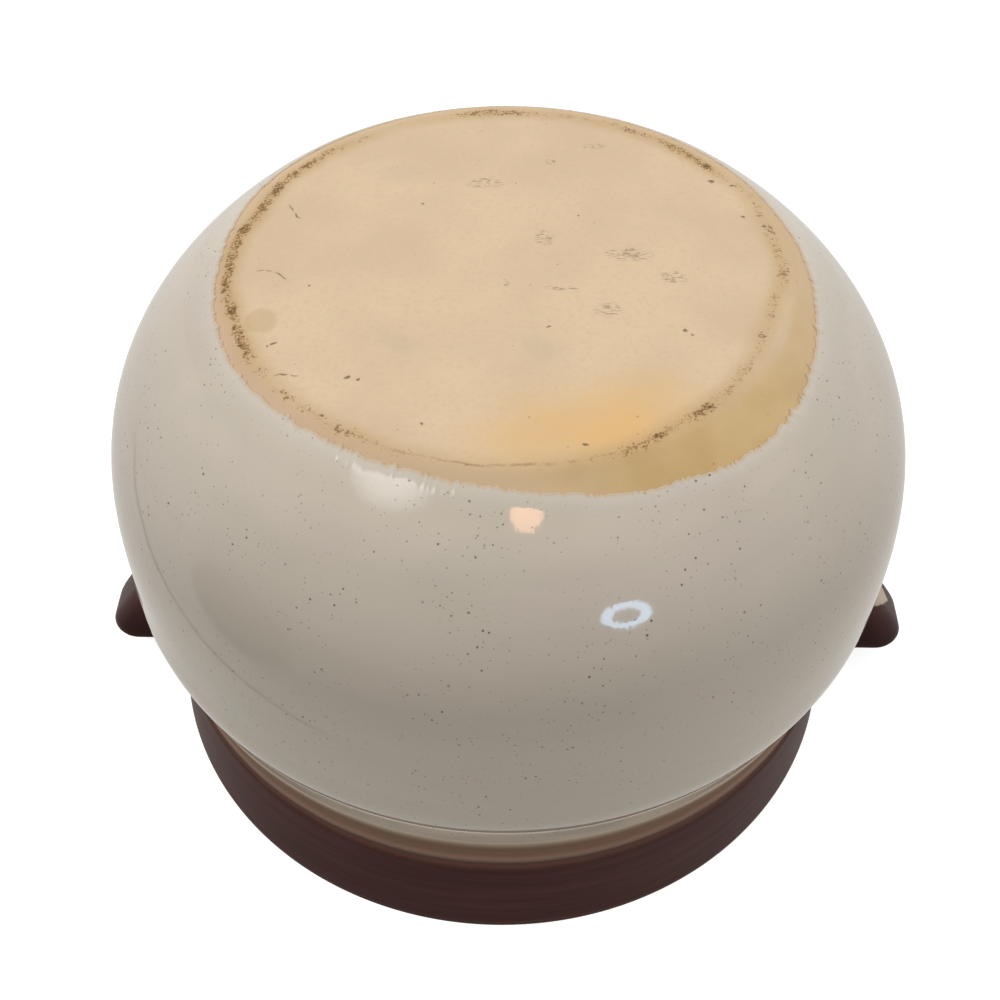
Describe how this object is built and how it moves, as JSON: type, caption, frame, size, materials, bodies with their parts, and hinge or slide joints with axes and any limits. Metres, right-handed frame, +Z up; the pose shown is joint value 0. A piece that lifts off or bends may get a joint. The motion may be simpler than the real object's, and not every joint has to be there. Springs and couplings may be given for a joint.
{
  "type": "bean pot",
  "caption": "Stoneware bean pot with a speckled cream belly, a brown collar and lug handles, standing mouth down on its rim with the bare clay foot up.",
  "frame": {"origin": "centre of the plane that the rim rests on", "axes": "+Z up from the rim to the flat foot, X through the handles"},
  "size_m": [0.2094, 0.1784, 0.1258],
  "materials": {
    "buff_stoneware": "matt bare fired clay",
    "cream_glaze": "glossy grey-beige with fine iron specks",
    "brown_glaze": "glossy dark brown"
  },
  "bodies": {
    "root": {"pot_body": "buff_stoneware", "cream_glaze": "cream_glaze", "collar_glaze": "brown_glaze", "liner_glaze": "brown_glaze", "handle_left": "brown_glaze", "handle_right": "brown_glaze"}
  },
  "joints": []
}
